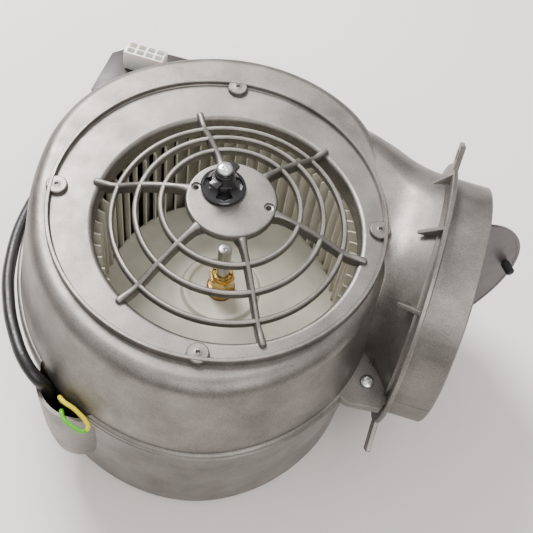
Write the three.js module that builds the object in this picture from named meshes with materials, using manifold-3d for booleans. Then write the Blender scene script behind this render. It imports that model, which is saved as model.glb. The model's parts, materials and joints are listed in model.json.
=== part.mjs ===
// Die-cast double-inlet fan with a round outlet collar. Millimetres, +Z up, +X along the collar.
// The origin is on the impeller axis, in the plane the fan stands on.
import * as THREE from "three";
import { mergeVertices } from "three/addons/utils/BufferGeometryUtils.js";
import Module from "manifold-3d";

const wasm = await Module();
wasm.setup();

// ---- driving dimensions ----
const HEIGHT = 150;            // top plane of the casing
const SEAM = 90;               // parting plane, through the collar axis
const WALL = 3;
const GAP = 0.3;               // clearance between neighbouring pieces
const BODY = [-7, 5.3];        // centre of the drum, off the impeller axis
const SHOULDER = 8;            // rounding between top and side wall
const DRAFT = 12;              // most that the drum's top stands in from its wall at the parting plane
const DRAFT_DEG = -105;        // where it does so
const INLET_R = 74.5;          // throat of both inlets
const MOUTH_R = 3;             // mouth rounding
const RIB_AT = [-7.5, 6.3];    // raised sealing rib around the inlet
const RIB_R = 94.4;
const BOSS_IN = 3.2;           // bosses stand this far inside the rib's middle line
const COLLAR_Y = 29;           // collar axis, sideways from the impeller axis
const COLLAR_R = 75;
const FLANGE_X = 113.5;        // neck side of the flange ring
const COLLAR_END = 140;
const FLANGE_R = 83;
const SPOKES = 6;
const GRILLE_R = [38, 51.6, 64.8];
const SPOKE_R = 79.5;
const GRILLE_TOP = 172;        // top of the hub plate
const PLATE_R = 25;
const SPIGOT = [-6.6, 5.1];    // filter spigot centre on the hub plate
const BLADES = 48;
const BLADE_IN = 71;
const BLADE_OUT = 83;
const DISC_R = 60;             // where the impeller disc's cone ends
const IMPELLER_Z = [16, 134];
const DISC_Z = [66, 78];       // impeller disc: height at the blades and at the hub
const SHAFT_R = 4;
const SHAFT_TOP = 122;
const FLAP_R = 70;
const FLAP_OPEN = 53;          // degrees the far flap stands open
const HINGE_X = 117.5;         // upright hinge line of the non-return flap
const SEGMENTS = 28;           // facets of the large circles

// Drum outline at the parting plane: [degrees, radius] about the drum centre.
const OUTLINE = [[-35, 112], [-47, 115], [-58, 118], [-72, 121.5], [-88, 122], [-112, 120],
  [-135, 117.5], [-155, 115.5], [-175, 115.5], [171, 119], [156, 123], [138, 124.5], [118, 124],
  [98, 124.5], [80, 123], [62, 120], [35, 108], [10, 102], [-15, 106]];

// Sections of the neck: x, side near -Y, side far +Y, bottom, top, corner radius.
const NECK = [[20, -30, 100, 6, 146, 14], [50, -25, 110, 4, 148, 24], [75, -22, 109, 6, 149, 36],
  [92, -22, 107, 9, 151, 50], [104, -32, 105, 13, 158, 64], [113.5, -46, 104, 15, 165, 74.9]];

const rad = Math.PI / 180;
const polar = (r, deg, c = [0, 0]) => [c[0] + r * Math.cos(deg * rad), c[1] + r * Math.sin(deg * rad)];

// ---- building blocks: every shape is a closed BufferGeometry ----
function solid(g) {
  const bare = g.clone();
  bare.deleteAttribute("normal");
  bare.deleteAttribute("uv");
  const merged = mergeVertices(bare, 1e-4);
  const index = merged.index.array;
  const kept = [];
  for (let i = 0; i < index.length; i += 3) {
    const [a, b, c] = index.slice(i, i + 3);
    if (a !== b && b !== c && c !== a) kept.push(a, b, c);
  }
  return new wasm.Manifold(new wasm.Mesh({
    numProp: 3,
    vertProperties: new Float32Array(merged.attributes.position.array),
    triVerts: new Uint32Array(kept),
  }));
}

function surface(manifold) {
  const mesh = manifold.getMesh();
  const g = new THREE.BufferGeometry();
  g.setAttribute("position", new THREE.BufferAttribute(new Float32Array(mesh.vertProperties), 3));
  g.setIndex(Array.from(mesh.triVerts));
  return g;
}

const add = (...shapes) => surface(shapes.map(solid).reduce((a, b) => a.add(b)));
const cut = (first, ...tools) => surface(tools.map(solid).reduce((a, b) => a.subtract(b), solid(first)));
const common = (a, b) => surface(solid(a).intersect(solid(b)));
const turn = (g, x, y, z) => g.clone().rotateX(x * rad).rotateY(y * rad).rotateZ(z * rad);
const move = (g, x, y, z) => g.clone().translate(x, y, z);

// A closed skin through rings of points, each anticlockwise about the direction of travel.
function loft(rings) {
  const n = rings[0].length;
  const v = rings.flat();
  const f = [];
  for (let i = 0; i + 1 < rings.length; i += 1) {
    for (let j = 0; j < n; j += 1) {
      const [a, b] = [i * n + j, i * n + ((j + 1) % n)];
      f.push([a, b, b + n], [a, b + n, a + n]);
    }
  }
  const ends = [[rings[0], 0, true], [rings[rings.length - 1], v.length - n, false]];
  for (const [ring, start, flip] of ends) {
    v.push([0, 1, 2].map((k) => ring.reduce((s, p) => s + p[k], 0) / n));
    for (let j = 0; j < n; j += 1) {
      const [a, b] = [start + j, start + ((j + 1) % n)];
      f.push(flip ? [v.length - 1, b, a] : [v.length - 1, a, b]);
    }
  }
  const g = new THREE.BufferGeometry();
  g.setAttribute("position", new THREE.Float32BufferAttribute(v.flat(), 3));
  g.setIndex(f.flat());
  return g;
}

// A closed [radius, height] profile, anticlockwise, turned about a vertical axis.
function turned(profile, segments = 20, centre = [0, 0]) {
  const points = [...profile, profile[0]].map(([r, z]) => new THREE.Vector2(r, z));
  return new THREE.LatheGeometry(points, segments).rotateX(90 * rad).translate(...centre, 0);
}

const disc = (r, z0, z1, centre = [0, 0], segments = 14) =>
  turned([[0, z0], [r, z0], [r, z1], [0, z1]], segments, centre);
const ring = (r0, r1, z0, z1, centre = [0, 0], segments = 20) =>
  turned([[r0, z0], [r1, z0], [r1, z1], [r0, z1]], segments, centre);

function prism(points, z0, z1) {
  const shape = new THREE.Shape(points.map(([x, y]) => new THREE.Vector2(x, y)));
  return new THREE.ExtrudeGeometry(shape, { depth: z1 - z0, bevelEnabled: false }).translate(0, 0, z0);
}

function box(x0, x1, y0, y1, z0, z1) {
  const g = new THREE.BoxGeometry(x1 - x0, y1 - y0, z1 - z0);
  return g.translate((x0 + x1) / 2, (y0 + y1) / 2, (z0 + z1) / 2);
}

// Turns a shape built about +Z so that its axis lies along +X, at collar height.
const alongX = (shape, y = COLLAR_Y, z = SEAM) => move(turn(shape, 0, 90, 0), 0, y, z);

// A flat strip of metal from a point at angle deg, radially outwards, in the plan view.
function bar(r0, r1, width, deg, z0, z1) {
  const half = width / 2;
  return turn(prism([[r0, -half], [r1, -half], [r1, half], [r0, half]], z0, z1), 0, 0, deg);
}

// A swept cable with an elliptical section, half-sizes a and b.
function cable(points, a, b, steps, sides = 8) {
  const section = new THREE.Shape(Array.from({ length: sides }, (_, j) => {
    const t = (2 * Math.PI * j) / sides;
    return new THREE.Vector2(a * Math.cos(t), b * Math.sin(t));
  }));
  const extrudePath = new THREE.CatmullRomCurve3(points.map((p) => new THREE.Vector3(...p)));
  return new THREE.ExtrudeGeometry(section, { steps, extrudePath });
}

function screw(x, y, z, headR, headH, shankR, length) {
  const head = [[0, z - length], [shankR, z - length], [shankR, z], [headR, z], [headR, z + headH * 0.4],
    [headR * 0.7, z + headH], [0, z + headH]];
  return turned(head, 12, [x, y]);
}

// ---- body shape ----
const outlineCurve = new THREE.CatmullRomCurve3(
  OUTLINE.map(([deg, r]) => new THREE.Vector3(...polar(r, -deg), 0)), true, "centripetal");
const outline = outlineCurve.getSpacedPoints(SEGMENTS).slice(0, -1)
  .map((p) => [Math.atan2(-p.y, p.x) / rad, Math.hypot(p.x, p.y)]).reverse();
const anticlockwise = [...outline].sort((a, b) => a[0] - b[0]);
const draft = (deg, z) =>
  (DRAFT / 2) * (1 + Math.cos((deg - DRAFT_DEG) * rad)) * Math.max(0, (z - SEAM) / (HEIGHT - SEAM));
const drumRing = (offset, z) =>
  anticlockwise.map(([deg, r]) => [...polar(r + offset - draft(deg, z), deg, BODY), z]);
const wallAt = (deg) => {
  const near = [...anticlockwise].sort((a, b) => Math.abs(a[0] - deg) - Math.abs(b[0] - deg));
  return near[0][1];
};

function drum(d) {
  const foot = 6 + d * 0.5;
  const top = SHOULDER + d;
  const corners = d < 0 ? [45] : [0, 45, 90];
  return loft([drumRing(d - 2 - foot, -d), drumRing(d - 1.9, -d + foot), drumRing(d, SEAM),
    ...corners.map((a) => drumRing(d - 1.3 - top * (1 - Math.cos(a * rad)),
      HEIGHT + d - top * (1 - Math.sin(a * rad)))),
    ...(d < 0 ? [drumRing(d - 1.3 - top, HEIGHT + d)] : [])]);
}

function neck(d) {
  return loft(NECK.map(([x, y0, y1, z0, z1, c]) => {
    const [a, b] = [(y1 - y0) / 2 + d, (z1 - z0) / 2 + d];
    const r = Math.min(c + d, a, b);
    return Array.from({ length: 20 }, (_, j) => {
      const q = Math.floor(j / 5);
      const t = (q * 90 + ((j % 5) * 90) / 4) * rad;
      const [sy, sz] = [q === 0 || q === 3 ? 1 : -1, q < 2 ? 1 : -1];
      const [y, z] = [(y0 + y1) / 2 + sy * (a - r), (z0 + z1) / 2 + sz * (b - r)];
      return [x, y + r * Math.cos(t), z + r * Math.sin(t)];
    });
  }));
}

const collarTube = (r, x0, x1) => alongX(turned([[0, x0], [r, x0], [r, x1], [0, x1]], SEGMENTS));
const bodySolid = (d) =>
  add(drum(d), neck(d), collarTube(COLLAR_R + d, FLANGE_X - 2, COLLAR_END + (d < 0 ? 10 : 0)));

const inside = bodySolid(-WALL);
const shell = cut(bodySolid(0), inside);
const above = box(-300, 300, -300, 300, SEAM + GAP / 2, 400);
const below = box(-300, 300, -300, 300, -100, SEAM - GAP / 2);
const bead = (z0, z1) => cut(loft([drumRing(1.8, z0), drumRing(1.8, z1)]), inside);

// Bell-mouthed inlet throat, as a cutter and as the lip left around it, for the top inlet.
const throat = turned([[0, 100], [INLET_R, 100], [INLET_R, HEIGHT - MOUTH_R],
  ...[45, 90].map((a) => [INLET_R + MOUTH_R * (1 - Math.cos(a * rad)),
    HEIGHT - MOUTH_R * (1 - Math.sin(a * rad))]),
  [INLET_R + MOUTH_R, HEIGHT + 20], [0, HEIGHT + 20]], SEGMENTS);
const lip = turned([[INLET_R - 1, 137.5], [INLET_R + 3, 137.5], [INLET_R + 4, 142],
  [INLET_R + 9, HEIGHT - 1.5], [INLET_R - 1, HEIGHT - 1.5]], SEGMENTS);
const throatBelow = turned([[0, -10], [INLET_R + 4, -10], [INLET_R + 4, 0.01], [INLET_R, 4], [INLET_R, 14],
  [0, 14]], SEGMENTS);
const lipBelow = turned([[INLET_R - 1, 1], [INLET_R + 7, 1], [INLET_R + 3, 8], [INLET_R + 3, 12.5],
  [INLET_R - 1, 12.5]], SEGMENTS);

// Flange ring at the foot of the collar, its stiffening gussets and its two lugs.
const flange = alongX(ring(COLLAR_R - 1, FLANGE_R, FLANGE_X, FLANGE_X + 3, [0, 0], SEGMENTS));
const gusset = (deg) => {
  const points = [[COLLAR_R - 5, 0], [FLANGE_R - 0.5, 0], [COLLAR_R - 5, -13]];
  const g = turn(prism(points, -1.2, 1.2), 90, 0, deg);
  return alongX(move(g, 0, 0, FLANGE_X + 0.5));
};
const lug = (deg, reach, width) => alongX(
  bar(COLLAR_R + 2, reach, width, deg, FLANGE_X, FLANGE_X + 3));
const lugFarDeg = 142;
const lugFar = cut(lug(lugFarDeg, 97, 14), alongX(bar(87, 93, 5, lugFarDeg, FLANGE_X - 5, FLANGE_X + 9)));
const lugNear = lug(-62, 101, 16);

// Parting-flange plate beside the outlet, and round ears elsewhere on the parting line.
const PLATE = [[84, -54], [93, -57], [111, -55], [FLANGE_X + 1, -50], [FLANGE_X + 1, -18], [100, -16],
  [90, -30]];
const plateScrew = [100.5, -41];
const plateHole = [100.5, -28.5];
const EARS = [72, 138];
const earAt = (deg, out = 6) => polar(wallAt(deg) + out, deg, BODY);
const ears = (z0, z1) => add(...EARS.map((deg) => disc(7.5, z0, z1, earAt(deg))));
const LEAD_EAR = -116;
const POCKET = -116.5;

const rib = ring(RIB_R - 1.3, RIB_R + 1.3, HEIGHT - 2.6, HEIGHT + 3, RIB_AT, SEGMENTS);
const bosses = add(...[10.5, 100.5, 190.5, 280.5].map((deg) =>
  disc(6, HEIGHT - 0.5, HEIGHT + 2.6, polar(RIB_R - BOSS_IN, deg, RIB_AT), 12)));
const upperPlates = add(prism(PLATE, SEAM + GAP / 2, SEAM + 3.2), ears(SEAM + GAP / 2, SEAM + 3.2),
  disc(6, SEAM + GAP / 2, SEAM + 3, earAt(LEAD_EAR, 2)));
const screwHoles = (r, z0, z1) => add(...[plateScrew, ...EARS.map((deg) => earAt(deg, 6))]
  .map((c) => disc(r, z0, z1, c, 10)));

let upper = common(shell, above);
upper = add(upper, bead(SEAM + GAP / 2, SEAM + 2), lip,
  rib, bosses, common(flange, above), common(lugFar, above), upperPlates,
  ...[60, 95, 130].map((deg) => common(gusset(deg + 90), above)));
upper = cut(upper, throat, common(inside, box(-300, 300, -300, 300, 0, 135)),
  screwHoles(2.4, SEAM - 5, SEAM + 9), disc(1.6, SEAM - 5, SEAM + 9, plateHole, 12),
  disc(3, SEAM - 5, SEAM + 9, earAt(LEAD_EAR, 3.4), 10));

let lower = common(shell, below);
const pocketShape = (d) => loft([[7 + d, 17 - d, 14], [14 + d, 21, 10], [20 + d, 32, 6],
  [25 + d, 50, 2.5], [27 + d, SEAM - GAP / 2 - d, 1]].map(([r, z, out]) => Array.from({ length: 28 }, (_, j) =>
    [...polar(r, (360 * j) / 28, polar(wallAt(POCKET) - 16 + out, POCKET, BODY)), z])));
const pocketOuter = pocketShape(0);
const pocketHollow = cut(pocketShape(-2), drum(0.01));
lower = add(lower, bead(SEAM - 2, SEAM - GAP / 2), lipBelow,
  common(flange, below), common(lugNear, below), prism(PLATE, SEAM - 3.2, SEAM - GAP / 2),
  ears(SEAM - 3.2, SEAM - GAP / 2), pocketOuter,
  ...[-75, -115].map((deg) => common(gusset(deg + 90), below)));
lower = cut(lower, throatBelow, common(inside, box(-300, 300, -300, 300, 15, 200)),
  screwHoles(1.9, SEAM - 12, SEAM + 5), pocketHollow);

// ---- domed finger guard over the top inlet ----
const domeZ = (r) => Math.max(HEIGHT + 2.4, 174 - (r / 14.36) ** 2);
function spoke(deg) {
  const stations = [22, 45, 67, 72, 73.8, SPOKE_R];
  const rings = stations.map((r) => {
    const top = domeZ(r);
    const bottom = r > 73 ? HEIGHT + GAP : top - 6;
    const w = r > 60 ? 2 : 1.6;
    return [[r, -w, bottom], [r, w, bottom], [r, w * 0.7, top], [r, -w * 0.7, top]];
  });
  return turn(loft(rings), 0, 0, deg);
}
const guardRing = (r) => turned([[r - 1.4, domeZ(r) - 5.2], [r + 1.4, domeZ(r) - 5.2],
  [r + 1.1, domeZ(r) - 0.2], [r - 1.1, domeZ(r) - 0.2]], SEGMENTS);
const hubPlate = turned([[0, GRILLE_TOP - 5], [PLATE_R, GRILLE_TOP - 5], [PLATE_R, GRILLE_TOP - 1],
  [PLATE_R - 1, GRILLE_TOP], [0, GRILLE_TOP]], 32);
let grille = add(hubPlate, ...GRILLE_R.map(guardRing),
  ...Array.from({ length: SPOKES }, (_, i) => spoke((360 * i) / SPOKES)));
grille = cut(grille, ...[4, 177].map((deg) => disc(1.6, 150, 190, polar(20.4, deg), 10)),
  disc(2.4, 150, 190, SPIGOT, 12));

// ---- filter spigot with its bayonet lugs, and the screw down its middle ----
const Z = GRILLE_TOP + GAP;
const spigotPost = turned([[3, Z], [12.3, Z], [12.3, Z + 1.6], [11, Z + 2.6], [7, Z + 5], [5.6, Z + 12],
  [5.2, Z + 15], [3, Z + 15]], 20, SPIGOT);
let spigot = add(spigotPost,
  ...[70, 250].map((deg) => move(bar(4, 10, 6, deg, Z + 9, Z + 12), ...SPIGOT, 0)));
spigot = cut(spigot, disc(2.6, 100, 260, SPIGOT, 12));
const spigotScrew = screw(...SPIGOT, Z + 15 + GAP, 4.3, 2.6, 2, 24);

// ---- impeller: two rows of forward-curved blades on one disc ----
function blade(deg, z0, z1) {
  const corners = [[BLADE_IN, 0.35], [BLADE_OUT, -7], [BLADE_OUT, -7.7], [BLADE_IN, -0.35]];
  return prism(corners.reverse().map(([r, a]) => polar(r, deg + a)), z0, z1);
}
const [Z0, Z1] = IMPELLER_Z;
const [RIM, HUB] = DISC_Z;
const impellerDisc = turned([[9, HUB - 4], [26, HUB - 4], [DISC_R, RIM], [BLADE_IN + 2, RIM - 3],
  [BLADE_IN + 2, RIM - 0.6], [DISC_R, RIM + 2.4], [26, HUB - 1.5], [22.5, HUB + 1], [20.5, HUB + 1],
  [20.5, HUB - 1.8], [9, HUB - 1.8]], 24);
const endRing = (z0, z1) => ring(BLADE_OUT - 1.5, BLADE_OUT + 0.8, z0, z1, [0, 0], 24);
const impeller = add(impellerDisc, endRing(Z1 - 4, Z1), endRing(Z0, Z0 + 4),
  ...Array.from({ length: BLADES }, (_, i) => blade((360 * i) / BLADES, Z0 + 1, Z1 - 1)));

// ---- shaft, clamp nut and motor, hung inside the lower inlet ----
const shaft = turned([[0, 12], [SHAFT_R, 12], [SHAFT_R, SHAFT_TOP - 1], [SHAFT_R - 0.8, SHAFT_TOP],
  [0, SHAFT_TOP]], 20);
const collet = turned([[4.3, HUB - 7], [8.7, HUB - 7], [8.7, HUB + 3.6], [4.3, HUB + 3.6]], 24);
const nutZ = HUB + 4;
const nut = cut(add(disc(8, nutZ, nutZ + 11, [0, 0], 6), disc(6.4, nutZ + 10, nutZ + 14, [0, 0], 24)),
  disc(4.3, 0, 200, [0, 0], 24), box(-9, 9, -0.8, 0.8, nutZ + 11.6, nutZ + 20));
const rotor = ring(4.3, 22, 27, 53, [0, 0], 32);
const stator = cut(ring(22.6, 40, 26, 54, [0, 0], 24), ...[30, 150, 270].map((deg) =>
  disc(2.2, 0, 90, polar(36, deg), 8)));
const winding = (z0, z1) =>
  turned([[24, z0], [33, z0], [34.5, z0 + 2], [34.5, z1 - 2], [33, z1], [24, z1]], 20);
const windingUpper = winding(54 + GAP, 62);
const windingLower = winding(18, 26 - GAP);
const shield = (flip) => {
  const s = turned([[9.3, 12], [26, 12], [41, 16], [41, 25.7], [38.2, 25.7], [38.2, 17.5], [26, 15],
    [9.3, 15]], 24);
  return flip ? move(turn(s, 180, 0, 0), 0, 0, 80) : s;
};
const shieldLower = shield(false);
const shieldUpper = shield(true);
const bearing = (z0) => ring(4.2, 9, z0, z0 + 5, [0, 0], 16);
const mountAt = [90, 210, 330].map((deg) => polar(24, deg));
const rubberMounts = mountAt.map((c) => turned([[0, 5.3], [6, 5.3], [6, 6.6], [4.6, 7.4], [6, 8.4],
  [6, 11.7 - GAP / 2], [0, 11.7 - GAP / 2]], 10, c));

// Spider across the lower inlet that carries the motor.
const armAngles = [90, 210, 330];
let support = add(disc(32, 0, 5, [0, 0], 32), ring(INLET_R + 5.2, INLET_R + 13, 0, 3, [0, 0], SEGMENTS),
  ...armAngles.map((deg) => bar(28, INLET_R + 8, 9, deg, 0, 5)));
const supportScrewAt = armAngles.map((deg) => polar(INLET_R + 9, deg));
lower = add(lower, ring(INLET_R + 1, INLET_R + 20, 1, 6.5, [0, 0], SEGMENTS));
lower = cut(lower, ring(INLET_R - 2, INLET_R + 13.3, -5, 3.3, [0, 0], SEGMENTS),
  ...armAngles.map((deg) => bar(60, INLET_R + 13.3, 9.6, deg, -5, 5.3)));
lower = cut(add(lower, ...supportScrewAt.map((c) => disc(5, 5.6, 12, c, 10))),
  ...supportScrewAt.map((c) => disc(1.9, 0, 11, c, 10)));
support = cut(support, ...supportScrewAt.flatMap((c) => [disc(1.9, -1, 9, c, 10), disc(3.6, -1, 2, c, 10)]));
const supportScrews = supportScrewAt.map((c) =>
  turned([[0, 0.3], [3.2, 0.3], [3.2, 1.7], [1.5, 1.7], [1.5, 10.5], [0, 10.5]], 10, c));

// ---- non-return flap: two half discs on one upright pin ----
const KNUCKLE = 4.2;
function halfFlap(knuckles) {
  const CLIP = 4.3; // degrees left off each end of the half disc, beside the pin
  const arc = Array.from({ length: 17 }, (_, i) =>
    polar(FLAP_R, CLIP - 90 + (i / 16) * (180 - 2 * CLIP)));
  const plate = turn(prism(arc, -0.9, 0.9), 90, 0, 90);
  const parts = knuckles.flatMap(([z0, z1]) =>
    [disc(KNUCKLE, z0, z1, [0, 0], 20), box(-0.9, 0.9, 0, 6, z0, z1)]);
  return cut(add(plate, ...parts), disc(2.3, -80, 80, [0, 0], 20));
}
const hinged = (shape, deg) => move(turn(shape, 0, 0, deg), HINGE_X, COLLAR_Y, SEAM);
let flapFar = halfFlap([[34, 46], [-46, -34]]);
flapFar = hinged(cut(flapFar, move(turn(disc(1.4, -5, 5, [0, 0], 12), 0, 90, 0), 0, 59, 11)), -FLAP_OPEN);
const flapNear = hinged(halfFlap([[50, 62], [-62, -50]]), 180);
const flapPin = disc(2, SEAM - 71.5, SEAM + 71.5, [HINGE_X, COLLAR_Y], 20);
const bufferPeg = turned(
  [[0, -0.6], [1.1, -0.6], [1.1, 0.9 + GAP], [2.8, 0.9 + GAP], [2.8, 9], [2.2, 9.8], [0, 9.8]], 16);
const buffer = hinged(move(turn(bufferPeg, 0, 90, 0), 0, 59, 11), -FLAP_OPEN);

// ---- supply lead, earth wire and connector ----
const aroundWall = ([deg, out, z]) => [...polar(wallAt(deg) + out, deg, BODY), z];
const leadOnWall = [[-120.5, 4.8, 66], [-120.6, 4.8, 79], [-121.2, 4.8, 89], [-123.2, 7.2, 96.5],
  [-128, 8.2, 100], [-136, 7.2, 98.5], [-148, 6.4, 95.5], [-162, 6.1, 91.5], [178, 6, 86], [165, 5.6, 80],
  [152, 6, 78], [143, 8, 77], [136.5, 10.5, 78.5], [132, 12.5, 84], [129.5, 13.5, 94], [128, 14, 105]];
const leadEnd = [-91, 116];
const lead = cable([...leadOnWall.map(aroundWall), [...leadEnd, 115], [...leadEnd, 122.9]], 3.1, 3.6, 40);
const earthWire = cable([[-60.8, -104.2, 85], [-60.8, -104.4, 90], [-60, -106.2, 95], [-56, -108.6, 96.6],
  [-51, -109.8, 95.8], [-46.6, -111.5, 94.8], [-42.2, -113.8, 93.6], [-39.8, -116.6, 92.2],
  [-41.5, -118.8, 90.9], [-45.5, -118.8, 91], [-50, -117.8, 91.6], [-54.5, -115.6, 92],
  [-57, -112.2, 91.6], [-57.6, -110.8, 88], [-57.6, -110.6, 83]], 1.2, 1.2, 30);
const BRACKET_AT = 126;
const onWall = (profile) => move(turn(turned(profile, 12), 0, 90, BRACKET_AT),
  ...polar(wallAt(BRACKET_AT), BRACKET_AT, BODY), 109);
const bracketHole = onWall([[0, -12], [1.9, -12], [1.9, 12], [0, 12]]);
const bracketPlate = prism([[-60, 90], [-60, 130], [-66, 134], [-80, 133.6], [-108, 128.6], [-116, 121],
  [-117, 86], [-100, 80]], 120, 123);
const bracketFoot = common(drum(4), move(bar(90, 150, 20, BRACKET_AT, 98, 121.5), ...BODY, 0));
const bracket = cut(add(bracketPlate, bracketFoot), drum(0.8), bracketHole, disc(4.6, 110, 130, leadEnd, 16));
upper = cut(upper, bracketHole);
const connector = cut(box(-104, -78, 110.5, 121.5, 123 + GAP, 138),
  ...[0, 1, 2, 3].flatMap((i) => [0, 1].map((j) =>
    box(-102 + i * 6.1, -98.2 + i * 6.1, 112 + j * 4.6, 115.4 + j * 4.6, 127, 150))));
const bracketScrew = onWall([[0, -7], [1.6, -7], [1.6, 4.2 + GAP], [4, 4.2 + GAP], [2.8, 6.8], [0, 6.8]]);

// ---- materials ----
const material = (color, metalness, roughness) =>
  new THREE.MeshStandardMaterial({ color, metalness, roughness });
const aluminium = material(0xa59e94, 0.9, 0.45);
const zinc = material(0xc4c6c4, 1, 0.3);
const steel = material(0x8d8c8a, 1, 0.35);
const brass = material(0xb58a3c, 1, 0.35);
const cream = material(0xd6d1c2, 0, 0.45);
const blackGloss = material(0x16161a, 0, 0.25);
const flapPlastic = material(0x574f50, 0, 0.5);
const rubber = material(0x141414, 0, 0.8);
const sleeve = material(0x1b1a1e, 0, 0.4);
const earthSheath = material(0xc9c928, 0, 0.4);
const ivory = material(0xdfe0da, 0, 0.4);
const darkPlastic = material(0x2c2727, 0, 0.5);
const lamination = material(0x55575a, 0.9, 0.5);
const copper = material(0xa5562c, 0.9, 0.4);

const NODES = {
  upper_casing: [upper, aluminium],
  lower_casing: [lower, aluminium],
  inlet_grille: [grille, aluminium],
  casing_screw_front: [screw(...plateScrew, SEAM + 3.2 + GAP, 4.2, 2.4, 1.6, 10), zinc],
  casing_screw_side: [screw(...earAt(EARS[0], 6), SEAM + 3.2 + GAP, 4.2, 2.4, 1.6, 10), zinc],
  casing_screw_rear: [screw(...earAt(EARS[1], 6), SEAM + 3.2 + GAP, 4.2, 2.4, 1.6, 10), zinc],
  filter_spigot: [spigot, blackGloss],
  filter_spigot_screw: [spigotScrew, zinc],
  impeller: [impeller, cream],
  impeller_collet: [collet, brass],
  clamp_nut: [nut, brass],
  motor_shaft: [shaft, steel],
  rotor_core: [rotor, lamination],
  stator_core: [stator, lamination],
  winding_upper: [windingUpper, copper],
  winding_lower: [windingLower, copper],
  end_shield_upper: [shieldUpper, aluminium],
  end_shield_lower: [shieldLower, aluminium],
  bearing_upper: [bearing(63.5), steel],
  bearing_lower: [bearing(12.5), steel],
  motor_support: [support, aluminium],
  flap_pin: [flapPin, steel],
  flap_far: [flapFar, flapPlastic],
  flap_near: [flapNear, flapPlastic],
  flap_buffer: [buffer, rubber],
  motor_lead: [lead, sleeve],
  earth_wire: [earthWire, earthSheath],
  connector_bracket: [bracket, darkPlastic],
  bracket_screw: [bracketScrew, zinc],
  connector_housing: [connector, ivory],
};
supportScrews.forEach((shape, i) => { NODES[`support_screw_${i + 1}`] = [shape, zinc]; });
rubberMounts.forEach((shape, i) => { NODES[`rubber_mount_${i + 1}`] = [shape, rubber]; });

const fan = new THREE.Group();
for (const [name, [shape, look]] of Object.entries(NODES)) {
  shape.computeVertexNormals();
  const mesh = new THREE.Mesh(shape, look);
  mesh.name = name;
  fan.add(mesh);
}

export default fan;
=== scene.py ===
# The visual model of a die-cast centrifugal blower with a guarded inlet and a round outlet collar,
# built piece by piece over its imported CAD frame.
import json
import math

import bpy
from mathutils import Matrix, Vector

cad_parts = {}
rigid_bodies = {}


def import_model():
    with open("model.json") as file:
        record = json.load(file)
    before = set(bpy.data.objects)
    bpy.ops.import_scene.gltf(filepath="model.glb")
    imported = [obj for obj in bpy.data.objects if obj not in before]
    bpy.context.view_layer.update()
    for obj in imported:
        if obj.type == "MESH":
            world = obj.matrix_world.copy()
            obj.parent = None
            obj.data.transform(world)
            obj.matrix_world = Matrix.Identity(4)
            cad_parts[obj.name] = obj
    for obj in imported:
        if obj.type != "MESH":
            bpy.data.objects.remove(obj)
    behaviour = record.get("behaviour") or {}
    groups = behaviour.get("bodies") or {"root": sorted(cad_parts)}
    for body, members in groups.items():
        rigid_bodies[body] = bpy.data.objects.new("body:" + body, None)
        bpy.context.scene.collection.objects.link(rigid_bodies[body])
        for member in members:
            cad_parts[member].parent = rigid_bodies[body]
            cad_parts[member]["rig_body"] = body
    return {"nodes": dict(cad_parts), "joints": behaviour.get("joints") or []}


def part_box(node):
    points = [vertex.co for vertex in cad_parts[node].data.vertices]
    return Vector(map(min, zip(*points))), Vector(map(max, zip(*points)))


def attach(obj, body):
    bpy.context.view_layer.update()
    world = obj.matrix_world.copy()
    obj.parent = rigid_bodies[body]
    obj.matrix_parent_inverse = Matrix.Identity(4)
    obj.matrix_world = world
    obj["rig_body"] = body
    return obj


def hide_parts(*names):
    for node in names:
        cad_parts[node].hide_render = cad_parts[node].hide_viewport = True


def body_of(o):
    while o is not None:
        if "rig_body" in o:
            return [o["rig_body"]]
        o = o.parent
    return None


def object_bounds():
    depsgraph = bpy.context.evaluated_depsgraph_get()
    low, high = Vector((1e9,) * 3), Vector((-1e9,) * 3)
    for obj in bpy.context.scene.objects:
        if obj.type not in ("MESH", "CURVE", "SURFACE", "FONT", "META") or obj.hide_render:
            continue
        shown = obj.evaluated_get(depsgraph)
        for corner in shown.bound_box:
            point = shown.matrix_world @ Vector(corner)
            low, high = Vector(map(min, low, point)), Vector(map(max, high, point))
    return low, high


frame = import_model()
cad_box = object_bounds()

# ---- Camera ----
# It looks down on the guarded inlet from in front, slightly rolled, with the outlet to the right.
# A short telephoto a little over half a metre from the inlet.
LENS = 60.79
bpy.ops.object.camera_add(
    location=(0.0554, -0.2796, 0.5612),
    rotation=(math.radians(31.78), math.radians(-6.16), math.radians(15.93)),
)
camera = bpy.context.object
camera.data.sensor_width = 36
camera.data.lens = LENS
camera.data.clip_start = 0.02
bpy.context.scene.camera = camera

# ---- Floor and light ----
# A pale warm-grey table and a plain soft studio: one broad light from behind on the left, which rakes
# over the inlet, a second broad one from the front, and a sky that is bright overhead and dim low down.


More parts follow.
